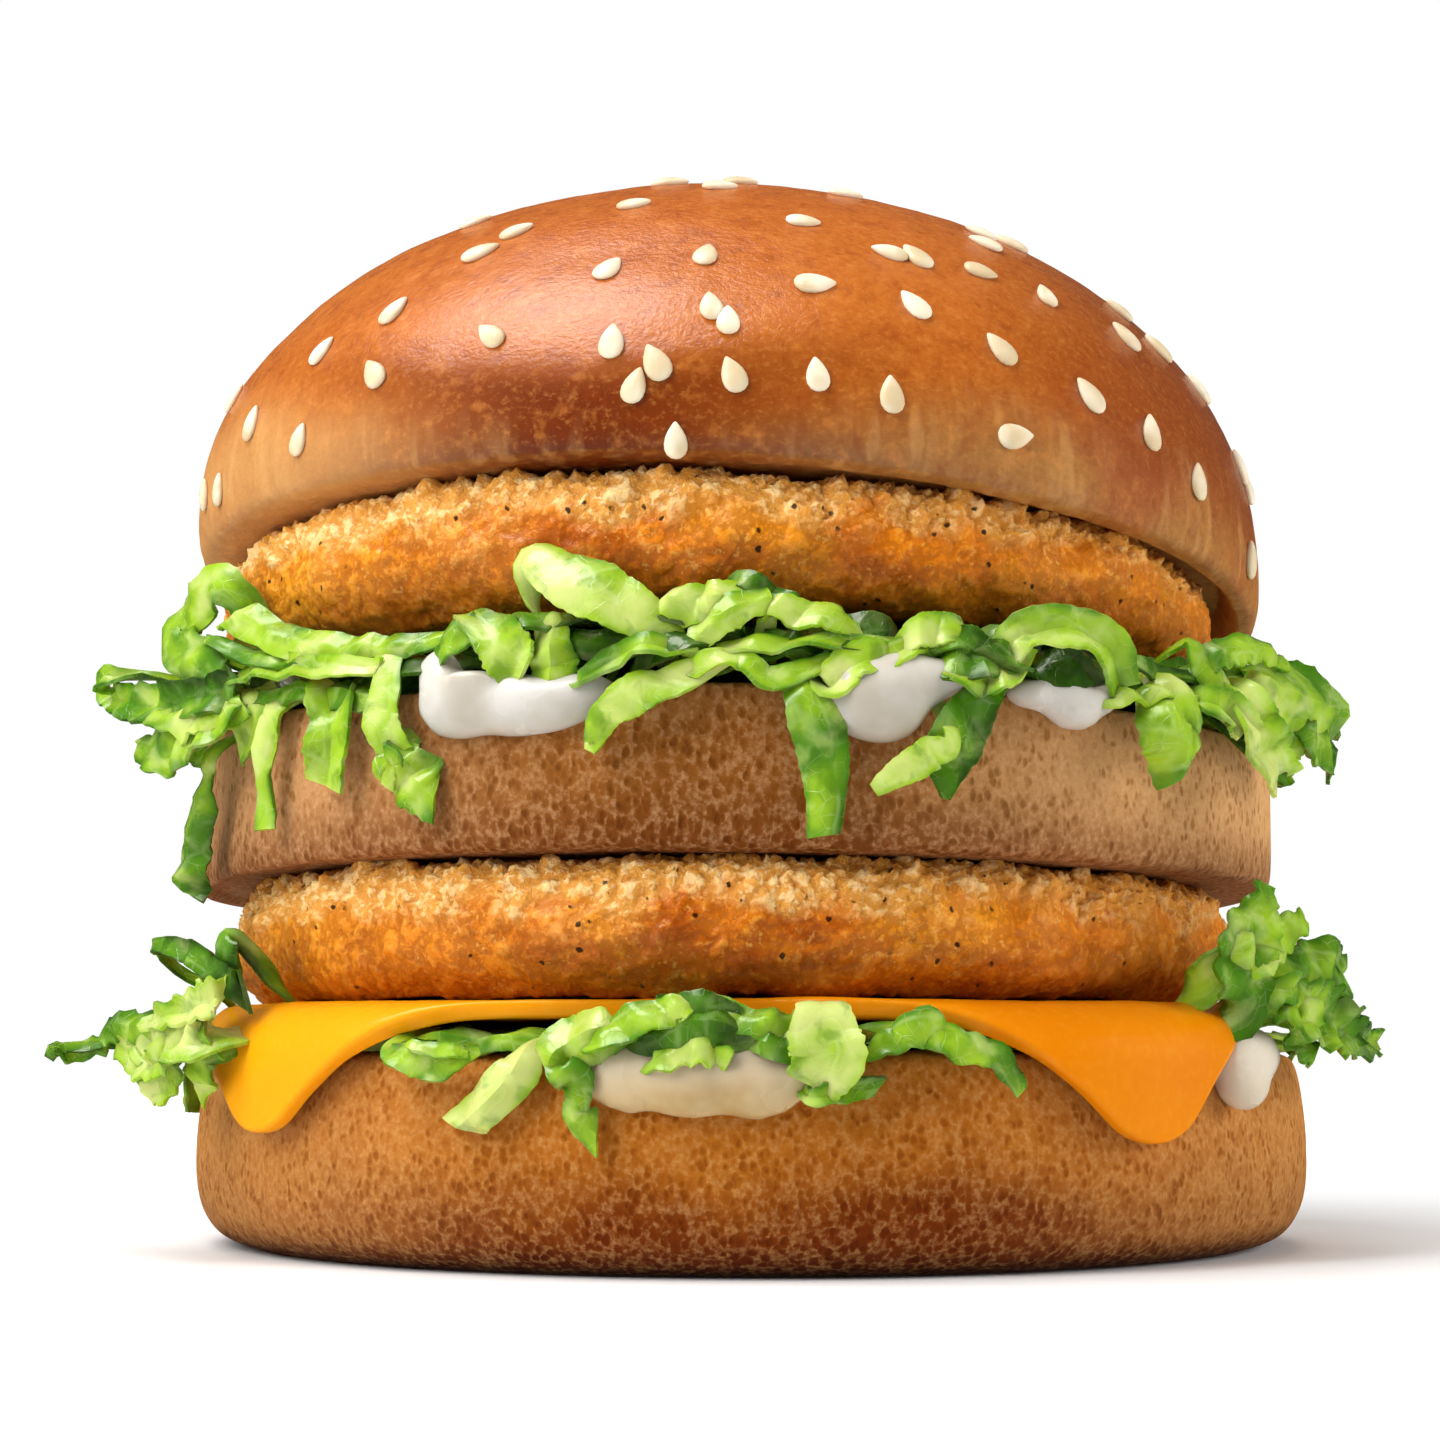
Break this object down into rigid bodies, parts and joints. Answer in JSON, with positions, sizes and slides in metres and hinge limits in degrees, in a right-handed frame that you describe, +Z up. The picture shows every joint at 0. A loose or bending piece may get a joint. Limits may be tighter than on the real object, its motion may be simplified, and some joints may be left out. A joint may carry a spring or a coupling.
{
  "type": "double chicken burger",
  "caption": "Sesame-seeded burger with breaded chicken patties between bun layers, shredded lettuce, mayonnaise and a folded cheese slice.",
  "frame": {"origin": "middle of the flat foot of the bottom bun, on the surface that the burger stands on", "axes": "+Z up through the layers; -Y towards the front, where the sauce drops show; +X to the right seen from the front"},
  "size_m": [0.1221, 0.114, 0.1],
  "materials": {
    "bread": "soft toasted bread with fine pores, dry and matt",
    "crust": "baked and glazed crust, satin, with pale sesame seeds",
    "breading": "fried golden crumb coating, craggy, slightly oily",
    "lettuce": "fresh shredded leaf, thin and slightly glossy",
    "cheese": "soft processed slice, smooth satin",
    "mayonnaise": "thick smooth sauce, wet gloss"
  },
  "bodies": {
    "root": {"bottom_bun": "bread", "lower_mayo": "mayonnaise", "lower_lettuce": "lettuce", "cheese_slice": "cheese", "lower_patty": "breading", "middle_bun": "bread", "upper_mayo": "mayonnaise", "upper_lettuce": "lettuce", "upper_patty": "breading", "top_bun": "crust"}
  },
  "joints": []
}
